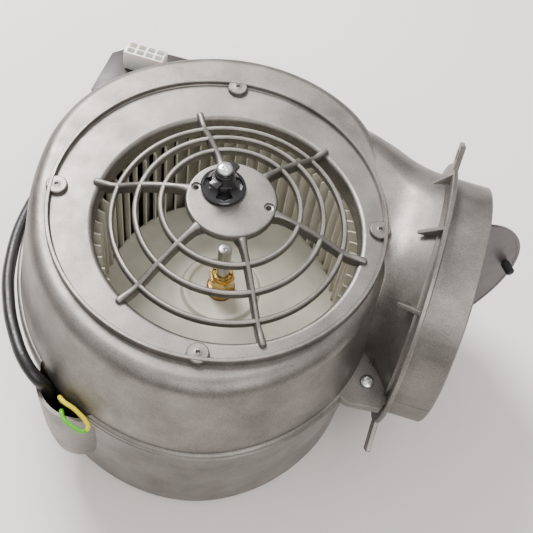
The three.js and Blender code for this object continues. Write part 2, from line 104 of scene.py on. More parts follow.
class Value:
    """A shader socket that arithmetic can be written with."""

    def __init__(self, tree, socket=None):
        self.tree = tree
        self.socket = socket

    def node(self, kind, settings, inputs, output=0):
        made = self.tree.nodes.new("ShaderNode" + kind)
        for name, setting in settings.items():
            setattr(made, name, setting)
        for name, value in inputs.items():
            if isinstance(value, Value):
                self.tree.links.new(value.socket, made.inputs[name])
            else:
                made.inputs[name].default_value = (*value, 1) if made.inputs[name].type == "RGBA" else value
        return Value(self.tree, made.outputs[output])

    def math(self, operation, first, second):
        return self.node("Math", {"operation": operation}, {0: first, 1: second})

    def __add__(self, other):
        return self.math("ADD", self, other)

    def __sub__(self, other):
        return self.math("SUBTRACT", self, other)

    def __rsub__(self, other):
        return self.math("SUBTRACT", other, self)

    def __mul__(self, other):
        return self.math("MULTIPLY", self, other)

    __radd__ = __add__
    __rmul__ = __mul__

    def place(self, stretch=(1, 1, 1)):
        here = self.node("TexCoord", {}, {}, "Object")
        return self.node("Mapping", {}, {"Vector": here, "Scale": stretch})

    def noise(self, per_metre, detail=3, stretch=(1, 1, 1), rough=0.5):
        inputs = {"Vector": self.place(stretch), "Scale": per_metre, "Detail": detail, "Roughness": rough}
        return self.node("TexNoise", {}, inputs, 0)

    def blend(self, first, second):
        inputs = {0: self, 6: first, 7: second}
        return self.node("Mix", {"data_type": "RGBA"}, inputs, 2)

    def steps(self, low, high):
        return self.node("MapRange", {}, {"Value": self, "From Min": low, "From Max": high})

    def bump(self, depth, strength=1.0):
        return self.node("Bump", {}, {"Height": self, "Distance": depth, "Strength": strength})


def finish(name, colour, rough, metal=0.0, normal=None, **constants):
    """A principled material. colour, rough and normal are functions of a Value, or plain numbers."""
    made = bpy.data.materials.new(name)
    made.use_nodes = True
    tree = made.node_tree
    shader = tree.nodes["Principled BSDF"]
    linked = {"Base Color": colour, "Roughness": rough, "Metallic": metal, "Normal": normal}
    for socket, value in linked.items():
        if callable(value):
            tree.links.new(value(Value(tree)).socket, shader.inputs[socket])
        elif value is not None:
            shader.inputs[socket].default_value = value
    for socket, value in constants.items():
        shader.inputs[socket.replace("_", " ")].default_value = value
    return made


def deselect():
    if bpy.context.object and bpy.context.object.mode != "OBJECT":
        bpy.ops.object.mode_set(mode="OBJECT")
    bpy.ops.object.select_all(action="DESELECT")


paper = finish(
    "pale_table",
    lambda v: v.noise(3, 4).blend((0.84, 0.80, 0.78), (0.88, 0.84, 0.82)),
    0.75,
    normal=lambda v: v.noise(900, 2).bump(0.0002, 0.2),
)
deselect()
bpy.ops.mesh.primitive_plane_add(size=6, location=(0, 0, cad_box[0][2] - 0.0003))
floor = bpy.context.object
floor.name = "table"
floor.data.materials.append(paper)


def soft_light(name, place, aim, size, watts, colour):
    deselect()
    bpy.ops.object.light_add(type="AREA", location=place)
    light = bpy.context.object
    light.name = name
    light.data.shape = "DISK"
    light.data.size = size
    light.data.energy = watts
    light.data.color = colour
    light.rotation_euler = (Vector(aim) - Vector(place)).to_track_quat("-Z", "Y").to_euler()


soft_light("window", (-0.75, 0.75, 1.2), (0, 0, 0.1), 0.7, 46, (1, 0.985, 0.965))
soft_light("fill", (0.5, -0.9, 1.3), (0, 0, 0.1), 0.9, 9, (1, 0.97, 0.94))
SKY_LOW = (0.10, 0.097, 0.094)
SKY_HIGH = (1.3, 1.28, 1.26)
sky = bpy.data.worlds.new("studio")
bpy.context.scene.world = sky
sky.use_nodes = True
sky.node_tree.nodes["Background"].inputs["Strength"].default_value = 1.0
overhead = Value(sky.node_tree).node("TexCoord", {}, {}, "Generated")
height = Value(sky.node_tree, overhead.node("SeparateXYZ", {}, {"Vector": overhead}, "Z").socket)
shade = height.steps(0.05, 0.95).blend(SKY_LOW, SKY_HIGH)
sky.node_tree.links.new(shade.socket, sky.node_tree.nodes["Background"].inputs["Color"])

# ---- Die-cast body: upper and lower casing ----
# Two aluminium castings that meet on a double bead at half height: a scroll drum with a rolled inlet
# mouth, a rib with four bosses round it, and a neck that runs into the flanged outlet collar.
MM = 0.001
HEIGHT = 150
RIM_TOP = 148.8
SEAM = 90
WALL = 3
GAP = 0.3
SHOULDER = 8
DRAFT = 12
DRAFT_DEG = -105
DRUM_AT = (-7, 5.3)
DRUM_RADII = (103.6, 103.2, 106.8, 112.4, 119.1, 122.2, 123.8, 124.3, 124.0, 124.4, 123.5, 120.6,
              116.8, 115.5, 116.0, 117.5, 119.1, 120.6, 121.8, 121.6, 118.5, 114.5, 110.5, 106.0)
NECK = ((20, -30, 100, 6, 146, 14), (50, -25, 110, 4, 148, 24), (75, -22, 109, 6, 149, 36),
        (92, -22, 107, 9, 151, 50), (104, -32, 105, 13, 158, 64), (113.5, -46, 104, 15, 165, 74.9))
INLET_R = 74.5
MOUTH_R = 3
RIB_AT = (-7.5, 6.3)
RIB_R = 94.4
RIB_TOP = 153
BOSS_DEG = (10.5, 100.5, 190.5, 280.5)
COLLAR_Y = 29
COLLAR_R = 75
FLANGE_X = 113.5
FLANGE_R = 83
COLLAR_END = 140
FINE = 144


def polar(radius, degrees, about=(0, 0)):
    angle = math.radians(degrees)
    return (about[0] + radius * math.cos(angle), about[1] + radius * math.sin(angle))


def arc(x, y, radius, first, last, steps):
    return [polar(radius, first + (last - first) * i / steps, (x, y)) for i in range(steps + 1)]


def eased(rows, at, cyclic=False):
    """A smooth curve through equally spaced rows of numbers, read at a fractional index."""
    count = len(rows)
    low = int(math.floor(at))
    t = at - low
    index = [(low + k) % count if cyclic else min(max(low + k, 0), count - 1) for k in (-1, 0, 1, 2)]
    a, b, c, d = (rows[i] if isinstance(rows[i], tuple) else (rows[i],) for i in index)
    return [
        0.5 * (2 * q + (r - p) * t + (2 * p - 5 * q + 4 * r - s) * t * t + (3 * q - p - 3 * r + s) * t ** 3)
        for p, q, r, s in zip(a, b, c, d)
    ]


def drum_wall(degrees):
    return eased(DRUM_RADII, (degrees % 360) / 360 * len(DRUM_RADII), cyclic=True)[0]


def at_wall(degrees, out):
    return polar(drum_wall(degrees) + out, degrees, DRUM_AT)


def draft(degrees, z):
    """How far the drum's upper wall leans in: most on the near side, nothing opposite."""
    lean = DRAFT / 2 * (1 + math.cos(math.radians(degrees - DRAFT_DEG)))
    return lean * max(0, (z - SEAM) / (HEIGHT - SEAM))


def drum_ring(out, z):
    return [(*at_wall(360 * i / FINE, out - draft(360 * i / FINE, z)), z) for i in range(FINE)]


def neck_ring(at, out):
    x, y0, y1, z0, z1, corner = eased(NECK, at)
    half_y, half_z = (y1 - y0) / 2 + out, (z1 - z0) / 2 + out
    corner = min(corner + out, half_y, half_z)
    ring = []
    for quarter, (sy, sz) in enumerate(((1, 1), (-1, 1), (-1, -1), (1, -1))):
        y, z = (y0 + y1) / 2 + sy * (half_y - corner), (z0 + z1) / 2 + sz * (half_z - corner)
        ring += [(x, *p) for p in arc(y, z, corner, quarter * 90, quarter * 90 + 88, 15)]
    return ring


def to_edit(piece):
    deselect()
    bpy.context.view_layer.objects.active = piece
    piece.select_set(True)
    bpy.ops.object.mode_set(mode="EDIT")


def tidy(piece):
    """Merges doubled points and turns the faces outwards."""
    to_edit(piece)
    bpy.ops.mesh.select_all(action="SELECT")
    bpy.ops.mesh.remove_doubles(threshold=2e-6)
    bpy.ops.mesh.normals_make_consistent(inside=False)
    bpy.ops.object.mode_set(mode="OBJECT")
    return piece


def loop(name, points, fill="NOTHING"):
    deselect()
    bpy.ops.mesh.primitive_circle_add(vertices=len(points), radius=MM, fill_type=fill)
    piece = bpy.context.object
    piece.name = name
    for corner, point in zip(piece.data.vertices, points):
        corner.co = Vector(point) * MM
    return piece


def lofted(name, rings):
    """A closed skin: the first ring is capped, extruded to each following ring and capped again."""
    piece = loop(name, rings[0])
    count = len(rings[0])
    to_edit(piece)
    bpy.ops.mesh.select_all(action="SELECT")
    for ring in rings[1:]:
        bpy.ops.mesh.extrude_edges_move()
        bpy.ops.object.mode_set(mode="OBJECT")
        for corner, point in zip(list(piece.data.vertices)[-count:], ring):
            corner.co = Vector(point) * MM
        bpy.ops.object.mode_set(mode="EDIT")
    bpy.ops.mesh.edge_face_add()
    bpy.ops.object.mode_set(mode="OBJECT")
    for corner in piece.data.vertices:
        corner.select = corner.index < count
    for edge in piece.data.edges:
        edge.select = max(edge.vertices) < count
    for face in piece.data.polygons:
        face.select = False
    to_edit(piece)
    bpy.ops.mesh.edge_face_add()
    bpy.ops.object.mode_set(mode="OBJECT")
    return tidy(piece)


def spun(name, profile, centre=(0, 0), steps=FINE):
    """A closed (radius, height) profile spun once round an upright axis."""
    piece = loop(name, [(r, 0, z) for r, z in profile])
    to_edit(piece)
    bpy.ops.mesh.select_all(action="SELECT")
    bpy.ops.mesh.spin(steps=steps, angle=2 * math.pi, center=(0, 0, 0), axis=(0, 0, 1))
    bpy.ops.object.mode_set(mode="OBJECT")
    return moved(tidy(piece), (*centre, 0))


def extruded(name, outline, z0, z1, edge=0.0, angle=40):
    """A flat outline given its thickness, with its sharp edges broken."""
    piece = loop(name, [(x, y, z0) for x, y in outline], "NGON")
    to_edit(piece)
    bpy.ops.mesh.select_all(action="SELECT")
    bpy.ops.mesh.extrude_region_move(TRANSFORM_OT_translate={"value": (0, 0, (z1 - z0) * MM)})
    bpy.ops.object.mode_set(mode="OBJECT")
    tidy(piece)
    if edge:
        modified(piece, "BEVEL", width=edge * MM, segments=2, angle_limit=math.radians(angle))
    return piece


def modified(piece, kind, **settings):
    deselect()
    bpy.context.view_layer.objects.active = piece
    piece.select_set(True)
    modifier = piece.modifiers.new(kind.lower(), kind)
    for name, value in settings.items():
        setattr(modifier, name, value)
    bpy.ops.object.modifier_apply(modifier=modifier.name)
    return piece


def moved(piece, place=(0, 0, 0), turn=(0, 0, 0)):
    """Turns a piece about the origin, then moves it, and applies both to its mesh."""
    deselect()
    bpy.context.view_layer.objects.active = piece
    piece.select_set(True)
    piece.rotation_euler = [math.radians(a) for a in turn]
    piece.location = Vector(place) * MM
    bpy.ops.object.transform_apply(location=True, rotation=True, scale=True)
    return piece


def combine(piece, operation, others):
    """One exact boolean with all the others, which are used up."""
    group = bpy.data.collections.new("tools")
    bpy.context.scene.collection.children.link(group)
    for other in others:
        for home in list(other.users_collection):
            home.objects.unlink(other)
        group.objects.link(other)
    modified(piece, "BOOLEAN", operation=operation, operand_type="COLLECTION", collection=group,
             solver="EXACT")
    for other in others:
        bpy.data.objects.remove(other)
    bpy.data.collections.remove(group)
    return piece


def copied(piece, name):
    twin = piece.copy()
    twin.data = piece.data.copy()
    twin.name = name
    bpy.context.scene.collection.objects.link(twin)
    return twin


def block(x0, x1, y0, y1, z0, z1, edge=0.0):
    return extruded("block", [(x0, y0), (x1, y0), (x1, y1), (x0, y1)], z0, z1, edge)


def strip(r0, r1, width, degrees, z0, z1, edge=0.0):
    h = width / 2
    flat = extruded("strip", [(r0, -h), (r1, -h), (r1, h), (r0, h)], z0, z1, edge)
    return moved(flat, turn=(0, 0, degrees))


def disc(radius, z0, z1, centre=(0, 0), steps=48, edge=0.0):
    profile = [(0, z0), (radius - edge, z0), (radius, z0 + edge), (radius, z1 - edge),
               (radius - edge, z1), (0, z1)]
    if not edge:
        profile = [(0, z0), (radius, z0), (radius, z1), (0, z1)]
    return spun("disc", profile, centre, steps)


def along_collar(piece):
    """Lays a piece that was built round an upright axis along the collar's axis."""
    return moved(piece, (0, COLLAR_Y, SEAM), (0, 90, 0))


def dressed(piece, material, slot, body, *nodes, angle=32, weighted=False):
    """Gives a finished piece its smooth shading, material and body, and hides the nodes it stands for. The
    slot argument is not used.
    """
    deselect()
    bpy.context.view_layer.objects.active = piece
    piece.select_set(True)
    bpy.ops.object.shade_smooth_by_angle(angle=math.radians(angle))
    if weighted:
        modified(piece, "WEIGHTED_NORMAL", keep_sharp=True, weight=100)
    if material:
        piece.data.materials.clear()
        piece.data.materials.append(material)
    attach(piece, body)
    if nodes:
        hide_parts(*nodes)
    return piece


def drum_solid(out):
    foot = [(out - 1.9 - 6 * (1 - math.cos(a)), -out + 6 - 6 * math.sin(a))
            for a in (math.radians(d) for d in range(90, -1, -18))]
    if out < 0:
        return lofted("drum", [drum_ring(o, z) for o, z in foot + [(out, SEAM), (out - 14, HEIGHT + out)]])
    top = [(-1.3 - SHOULDER * (1 - math.cos(a)), RIM_TOP - SHOULDER * (1 - math.sin(a)))
           for a in (math.radians(d) for d in range(0, 91, 10))]
    return lofted("drum", [drum_ring(o, z) for o, z in foot + [(0, SEAM)] + top])


def neck_solid(out):
    return lofted("neck", [neck_ring(i / 4, out) for i in range(4 * (len(NECK) - 1) + 1)])


def collar_solid(radius, x0, x1):
    return along_collar(disc(radius, x0, x1, steps=FINE))


def gusset(degrees):
    rib = extruded("gusset", [(COLLAR_R - 5, 0), (FLANGE_R - 0.8, 0), (COLLAR_R - 5, -13)], -1.3, 1.3, 0.5)
    return along_collar(moved(moved(rib, turn=(90, 0, degrees)), (0, 0, FLANGE_X + 0.5)))


def lug(degrees, reach, width):
    return along_collar(strip(COLLAR_R + 2, reach, width, degrees, FLANGE_X, FLANGE_X + 3, 0.6))


PLATE = ((84, -54), (93, -57), (111, -55), (FLANGE_X + 1, -50), (FLANGE_X + 1, -18), (100, -16), (90, -30))
PLATE_SCREW = (100.5, -41)
PLATE_HOLE = (100.5, -28.5)
EARS = (72, 138)
LEAD_EAR = -116
POCKET = -116.5


def pocket_solid(inset):
    rings = []
    for radius, z, out in ((4, 15.8, 15.5), (9, 17.2, 13), (14, 21, 10), (17.5, 26, 7.8), (20, 32, 6),
                           (23, 41, 4), (25, 50, 2.5), (26.3, 68, 1.5), (27, 88.8, 1),
                           (27, 89.8 + 3 * (inset > 0), 1)):
        centre = polar(drum_wall(POCKET) - 16 + out, POCKET, DRUM_AT)
        rings.append([(*polar(radius - inset, 7.5 * i, centre), z + inset * 0.8) for i in range(48)])
    return lofted("pocket", rings)


bead = lofted("bead", [drum_ring(o, z) for o, z in (
    (0, SEAM - 3.4), (1.3, SEAM - 3), (1.9, SEAM - 2.2), (1.9, SEAM - 1), (1.2, SEAM - 0.5),
    (1.2, SEAM + 0.5), (1.9, SEAM + 1), (1.9, SEAM + 2.2), (1.3, SEAM + 3), (0, SEAM + 3.4))])
plateau = spun("plateau", [(0, 138), (RIB_R + 1.3, 138), (RIB_R + 1.3, RIM_TOP + 0.4),
                           (RIB_R + 1.1, RIB_TOP - 0.4), (RIB_R + 0.7, RIB_TOP), (RIB_R - 0.7, RIB_TOP),
                           (RIB_R - 1.1, RIB_TOP - 0.4), (RIB_R - 1.3, HEIGHT + 0.5),
                           (RIB_R - 1.8, HEIGHT), (0, HEIGHT)], RIB_AT, 192)
boss_profile = [(0, HEIGHT - 2), (6.2, HEIGHT - 2), (6.2, HEIGHT + 0.2), (5.8, HEIGHT + 2.2),
                (5.2, HEIGHT + 2.6), (2.4, HEIGHT + 2.6), (1.9, HEIGHT + 2.9), (1.3, HEIGHT + 2.9),
                (0.7, HEIGHT + 1.7), (0, HEIGHT + 1.7)]
bosses = [spun("boss", boss_profile, polar(RIB_R - 3.4, a, RIB_AT), 40) for a in BOSS_DEG]
flange_ring = along_collar(spun("flange", [
    (COLLAR_R - 1, FLANGE_X), (FLANGE_R - 0.6, FLANGE_X), (FLANGE_R, FLANGE_X + 0.6),
    (FLANGE_R, FLANGE_X + 2.4), (FLANGE_R - 0.6, FLANGE_X + 3),
    (COLLAR_R - 1, FLANGE_X + 3)], steps=FINE))
collar = along_collar(spun("collar", [
    (0, FLANGE_X - 2), (COLLAR_R, FLANGE_X - 2), (COLLAR_R, COLLAR_END - 0.8),
    (COLLAR_R - 0.8, COLLAR_END), (0, COLLAR_END)], steps=FINE))
ear_places = [at_wall(a, 6) for a in EARS]
body = combine(drum_solid(0), "UNION", [
    neck_solid(0), collar, bead, plateau, flange_ring, *bosses,
    lug(142, 97, 14), lug(-62, 101, 16), *[gusset(a + 90) for a in (60, 95, 130, -75, -115)],
    extruded("plate", PLATE, SEAM - 3.2, SEAM + 3.2, 0.5),
    *[disc(7.5, SEAM - 3.2, SEAM + 3.2, place, edge=0.5) for place in ear_places],
    disc(6, SEAM - 1, SEAM + 3, at_wall(LEAD_EAR, 2), edge=0.5), pocket_solid(0)])
body = combine(body, "DIFFERENCE", [
    drum_solid(-WALL), neck_solid(-WALL), collar_solid(COLLAR_R - WALL, FLANGE_X - 1, 160)])
body = combine(body, "UNION", [
    spun("throat_wall", [(INLET_R - 1, 137.5), (INLET_R + 3, 137.5), (INLET_R + 4, 142),
                         (INLET_R + 9, 148.2), (INLET_R - 1, 148.2)], steps=FINE),
    spun("lower_throat_wall", [(INLET_R - 1, 1), (INLET_R + 20, 1), (INLET_R + 20, 6.5), (INLET_R + 3, 8),
                               (INLET_R + 3, 12.5), (INLET_R - 1, 12.5)], steps=FINE)])
ARMS = (90, 210, 330)
support_screw_places = [polar(INLET_R + 9, a) for a in ARMS]
mouth = [(INLET_R + MOUTH_R * (1 - math.cos(a)), HEIGHT - MOUTH_R * (1 - math.sin(a)))
         for a in (math.radians(d) for d in range(0, 91, 9))]
throat = spun("throat", [(0, 100), (INLET_R, 100), *mouth, (INLET_R + MOUTH_R, 175), (0, 175)], steps=192)
lower_throat = spun("lower_throat", [
    (0, -10), (INLET_R + 4, -10), (INLET_R + 4, 0), (INLET_R + 1.2, 1.2), (INLET_R, 4), (INLET_R, 14),
    (0, 14)], steps=FINE)
support_seat = spun("seat", [
    (INLET_R - 2, -5), (INLET_R + 13.3, -5), (INLET_R + 13.3, 3.3), (INLET_R - 2, 3.3)], steps=FINE)
body = combine(body, "UNION", [disc(5, 5.6, 12, c, 24) for c in support_screw_places])
screw_places = [PLATE_SCREW, *ear_places]
body = combine(body, "DIFFERENCE", [
    throat, lower_throat, support_seat, *[strip(60, INLET_R + 13.3, 9.6, a, -5, 5.3) for a in ARMS],
    *[disc(1.9, 0, 11, c, 24) for c in support_screw_places],
    *[disc(2.4, SEAM - 12, SEAM + 9, c, 24) for c in screw_places],
    disc(1.6, SEAM - 5, SEAM + 9, PLATE_HOLE, 24),
    disc(3, SEAM - 5, SEAM + 9, at_wall(LEAD_EAR, 3.4), 24),
    combine(pocket_solid(2), "DIFFERENCE", [drum_solid(0)]),
    along_collar(strip(87, 93, 5, 142, FLANGE_X - 5, FLANGE_X + 9))])


def cast_colour(v):
    mottle = v.noise(38, 5, rough=0.6).steps(0.3, 0.72)
    grain = v.noise(1500, 2).steps(0.35, 0.65)
    return (mottle * 0.62 + grain * 0.38).blend((0.125, 0.115, 0.105), (0.31, 0.29, 0.27))


def cast_roughness(v):
    return v.noise(55, 4).steps(0.3, 0.7) * 0.16 + 0.38


def cast_skin(v):
    return (v.noise(1300, 3) * 0.7 + v.noise(240, 3) * 0.6).bump(0.00012, 0.55)


cast = finish("cast_aluminium", cast_colour, cast_roughness, 0.9, cast_skin)
upper_half = block(-300, 300, -300, 300, SEAM + GAP / 2, 400)
upper_casing = combine(copied(body, "upper_casing_shell"), "INTERSECT", [upper_half])
lower_half = block(-300, 300, -300, 300, -100, SEAM - GAP / 2)
lower_casing = combine(body, "INTERSECT", [lower_half])
lower_casing.name = "lower_casing_shell"
dressed(upper_casing, cast, "cast_aluminium", "casing", "upper_casing", weighted=True)
dressed(lower_casing, cast, "cast_aluminium", "casing", "lower_casing", weighted=True)

# ---- Finger guard ----
# Cast with the upper casing: a round hub plate held 22 mm above the rim by six arched spokes, with
# three rounded guard rings between them. The spoke tips are rounded and land just past the mouth.
PLATE_R = 25
PLATE_TOP = 172
GUARD_RINGS = (38, 51.6, 64.8)
SPOKE_R = 79.5
SPOKES = 6
SPIGOT = (-6.6, 5.1)


def dome(radius):
    return max(HEIGHT + 2.2, 174 - (radius / 14.36) ** 2)


def spoke(degrees):
    """An arched rib that widens where it meets the hub plate and at its rounded foot on the mouth."""
    rings = []
    for r in (20, 22.5, 24.5, 27, 31, 38, 45, 52, 59, 64.8, 69, 73, SPOKE_R - 2.4, SPOKE_R - 0.8, SPOKE_R):
        past = SPOKE_R - r
        top = min(dome(r) + 0.5, PLATE_TOP - 0.9) - (1.6 if past == 0 else 0.5 if past < 1 else 0)
        bottom = max(top - 6.6, HEIGHT - 0.8) if r > 73 else top - 6.6
        half = 1.85 + 2.4 * max(0, (31 - r) / 9) ** 2 + 0.55 * max(0, (r - 68) / 12)
        half *= 0.5 if past == 0 else 0.85 if past < 1 else 1
        profile = [(-half, bottom), (half, bottom), (half * 0.96, top - 1.9), (half * 0.8, top - 0.8),
                   (half * 0.45, top - 0.15), (0, top), (-half * 0.45, top - 0.15),
                   (-half * 0.8, top - 0.8), (-half * 0.96, top - 1.9)]
        rings.append([(r, y, z) for y, z in profile])
    return moved(lofted("spoke", rings), turn=(0, 0, degrees))


def guard_ring(radius):
    half, top, low = 1.5, dome(radius) + 0.2, dome(radius) - 4.6
    profile = [(radius - half * 0.7, low), (radius + half * 0.7, low), (radius + half, low + 0.9),
               (radius + half, top - 1.6), (radius + half * 0.8, top - 0.5), (radius + half * 0.35, top),
               (radius - half * 0.35, top), (radius - half * 0.8, top - 0.5), (radius - half, top - 1.6),
               (radius - half, low + 0.9)]
    return spun("guard_ring", profile)


hub_plate = spun("hub_plate", [
    (0, PLATE_TOP - 5), (PLATE_R - 1.6, PLATE_TOP - 5.4), (PLATE_R - 0.4, PLATE_TOP - 4.6),
    (PLATE_R, PLATE_TOP - 3.2), (PLATE_R - 0.2, PLATE_TOP - 1.4), (PLATE_R - 0.9, PLATE_TOP - 0.3),
    (PLATE_R - 1.8, PLATE_TOP), (0, PLATE_TOP)])
grille = combine(hub_plate, "UNION",
                 [guard_ring(r) for r in GUARD_RINGS] + [spoke(60 * i) for i in range(SPOKES)])
sunk_holes = []
for side in (4, 177):
    place = polar(20.4, side)
    sunk_holes.append(spun("hole", [(0, 150), (1.6, 150), (1.6, PLATE_TOP - 1.2), (2.6, PLATE_TOP - 1),
                                    (2.9, PLATE_TOP + 0.2), (2.9, 180), (0, 180)], place, 32))
grille = combine(grille, "DIFFERENCE", sunk_holes + [disc(2.4, 150, 190, SPIGOT, 32)])
grille.name = "finger_guard"
dressed(grille, cast, "cast_aluminium", "casing", "inlet_grille", weighted=True)

# ---- Screws ----
# Zinc-plated steel pan-head screws with a cross recess: one through the filter spigot, three down
# through the parting flange, three up into the lower casing for the motor support, one for the bracket.


def plated_colour(v):
    return v.noise(420, 3).steps(0.35, 0.65).blend((0.62, 0.63, 0.62), (0.78, 0.79, 0.77))


zinc = finish("bright_zinc", plated_colour, lambda v: v.noise(300, 2) * 0.15 + 0.17, 1.0,
              lambda v: v.noise(900, 2).bump(0.00005, 0.4))


def pan_screw(name, head, height, shank, length):
    """A cross-recess screw with its head's seat at the origin, head up."""
    profile = [(0, -length), (shank * 0.6, -length), (shank, -length + shank), (shank, 0),
               (head - 0.3, 0), (head, 0.3), (head, height * 0.35), (head * 0.93, height * 0.66),
               (head * 0.74, height * 0.88), (head * 0.45, height * 0.98), (0, height)]
    piece = spun(name, profile, steps=40)
    arms = [moved(extruded("arm", [(-head * 0.52, -0.1 * head), (head * 0.52, -0.1 * head),
                                   (head * 0.52, 0.1 * head),
                                   (-head * 0.52, 0.1 * head)], height * 0.45, height * 1.3),
                                   turn=(0, 0, a)) for a in (30, 120)]
    centre = spun("cone", [(0, height * 0.2), (head * 0.26, height * 1.1), (0, height * 1.1)], steps=16)
    piece = combine(piece, "DIFFERENCE", arms + [centre])
    piece.name = name
    return piece


post_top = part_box("filter_spigot")[1].z / MM
spigot_screw = moved(pan_screw("spigot_screw_head", 4.3, 2.6, 2, 24), (*SPIGOT, post_top + GAP))
dressed(spigot_screw, zinc, "zinc_screw", "casing", "filter_spigot_screw")
for name, place in zip(("front", "side", "rear"), screw_places):
    piece = moved(pan_screw(f"casing_screw_{name}_head", 4.2, 2.4, 1.6, 10), (*place, SEAM + 3.2 + GAP))
    dressed(piece, zinc, "zinc_screw", "casing", f"casing_screw_{name}")
for i, place in enumerate(support_screw_places, 1):
    piece = moved(moved(pan_screw(f"support_screw_{i}_head", 3.2, 1.4, 1.5, 8.8), turn=(180, 0, 0)),
                  (*place, 1.7))
    dressed(piece, zinc, "zinc_screw", "casing", f"support_screw_{i}")

# ---- Filter spigot ----
# A glossy black moulding that the grease filter hooks on: a shallow cone base with four windows
# between webs, a post up its middle and two bayonet lugs at the top. The long screw runs down it.
foot = PLATE_TOP + GAP
spigot = spun("spigot", [
    (3, foot), (11.8, foot), (12.3, foot + 0.5), (12.3, foot + 1.4), (11.7, foot + 2), (10.9, foot + 2.2),
    (8.6, foot + 4), (7, foot + 5.8), (6, foot + 8.2), (5.6, foot + 10.5), (5.4, foot + 13.4),
    (5, foot + 14.4), (4.4, foot + 15), (3, foot + 15)], SPIGOT, 96)
windows = []
for k in range(4):
    wedge = [polar(5.4, -24), polar(10.2, -27), polar(10.8, 0), polar(10.2, 27), polar(5.4, 24)]
    window = moved(extruded("window", wedge, foot + 1.2, foot + 7.2, 0.3), turn=(0, 0, 20 + 90 * k))
    windows.append(moved(window, (*SPIGOT, 0)))
lugs = [moved(strip(4, 10.2, 6, a, foot + 8.8, foot + 11.8, 0.8), (*SPIGOT, 0)) for a in (70, 250)]
spigot = combine(spigot, "DIFFERENCE", windows)
spigot = combine(spigot, "UNION", lugs)
spigot = combine(spigot, "DIFFERENCE", [disc(2.6, 100, 260, SPIGOT, 32)])
spigot.name = "spigot_moulding"
gloss_black = finish("gloss_black_moulding",
                     lambda v: v.noise(160, 3).blend((0.006, 0.006, 0.008), (0.018, 0.017, 0.02)),
                     lambda v: v.noise(220, 3).steps(0.3, 0.7) * 0.14 + 0.14, 0.0,
                     lambda v: v.noise(420, 2).bump(0.00006, 0.5), Coat_Weight=0.35)
dressed(spigot, gloss_black, "spigot_plastic", "casing", "filter_spigot", angle=38)

# ---- Impeller ----
# One cream moulding: a coned disc at mid height with forward-curved blades above and below it, tied
# by a ring at each end. It is clamped on the shaft by a collet in the stepped ring of its hub.
BLADES = 60
BLADE_IN = 71
BLADE_OUT = 83
IMPELLER_Z = (16, 134)
DISC_RIM = 66
DISC_HUB = 78
DISC_R = 60


def cream_colour(v):
    flow = v.noise(70, 4, stretch=(1, 1, 0.25)).steps(0.3, 0.7)
    return flow.blend((0.60, 0.575, 0.48), (0.72, 0.70, 0.61))


cream = finish("cream_moulding", cream_colour, lambda v: v.noise(90, 3) * 0.2 + 0.36, 0.0,
               lambda v: v.noise(500, 3).bump(0.00008, 0.35), Subsurface_Weight=0.06,
               Subsurface_Scale=0.002)


def blade():
    """One blade: its inner edge is radial and it curves forward to lie near the rim's tangent outside."""
    inner, outer, thick = [], [], 0.45
    for i in range(7):
        t = i / 6
        r = BLADE_IN + (BLADE_OUT - BLADE_IN) * t
        turn = -7.5 * t ** 1.9
        lean = math.degrees(thick * (1 + 1.2 * t * t) / r)
        inner.append(polar(r, turn + lean))
        outer.append(polar(r, turn - lean))
    return extruded("blade", outer + inner[::-1], IMPELLER_Z[0] + 0.6, IMPELLER_Z[1] - 0.6)


first = blade()
blades = [first]
for i in range(1, BLADES):
    blades.append(moved(copied(first, "blade"), turn=(0, 0, 360 * i / BLADES)))
wheel_disc = spun("wheel_disc", [
    (9, DISC_HUB - 4), (26, DISC_HUB - 4), (DISC_R, DISC_RIM), (BLADE_IN + 2, DISC_RIM - 3),
    (BLADE_IN + 2, DISC_RIM - 0.6), (DISC_R, DISC_RIM + 2.4), (30, DISC_HUB - 2.6),
    (26.5, DISC_HUB - 1.5), (25.2, DISC_HUB - 1.6), (24.4, DISC_HUB - 0.6), (23.4, DISC_HUB + 0.9),
    (22.6, DISC_HUB + 1.1), (20.8, DISC_HUB + 1.1), (20.2, DISC_HUB + 0.7), (19.8, DISC_HUB - 1.4),
    (18.8, DISC_HUB - 1.8), (9, DISC_HUB - 1.8)], steps=FINE)


def end_ring(z0, z1):
    return spun("end_ring", [
        (BLADE_OUT - 1.6, z0 + 0.5), (BLADE_OUT - 1.2, z0), (BLADE_OUT + 0.4, z0),
        (BLADE_OUT + 0.8, z0 + 0.5), (BLADE_OUT + 0.8, z1 - 0.5), (BLADE_OUT + 0.4, z1),
        (BLADE_OUT - 1.2, z1), (BLADE_OUT - 1.6, z1 - 0.5)], steps=FINE)


parts = [wheel_disc, end_ring(IMPELLER_Z[0], IMPELLER_Z[0] + 4),
         end_ring(IMPELLER_Z[1] - 4, IMPELLER_Z[1]), *blades]
deselect()
for part in parts:
    part.select_set(True)
bpy.context.view_layer.objects.active = wheel_disc
bpy.ops.object.join()
wheel = bpy.context.object
wheel.name = "impeller_wheel"
dressed(wheel, cream, "impeller_plastic", "rotor", "impeller", angle=40)

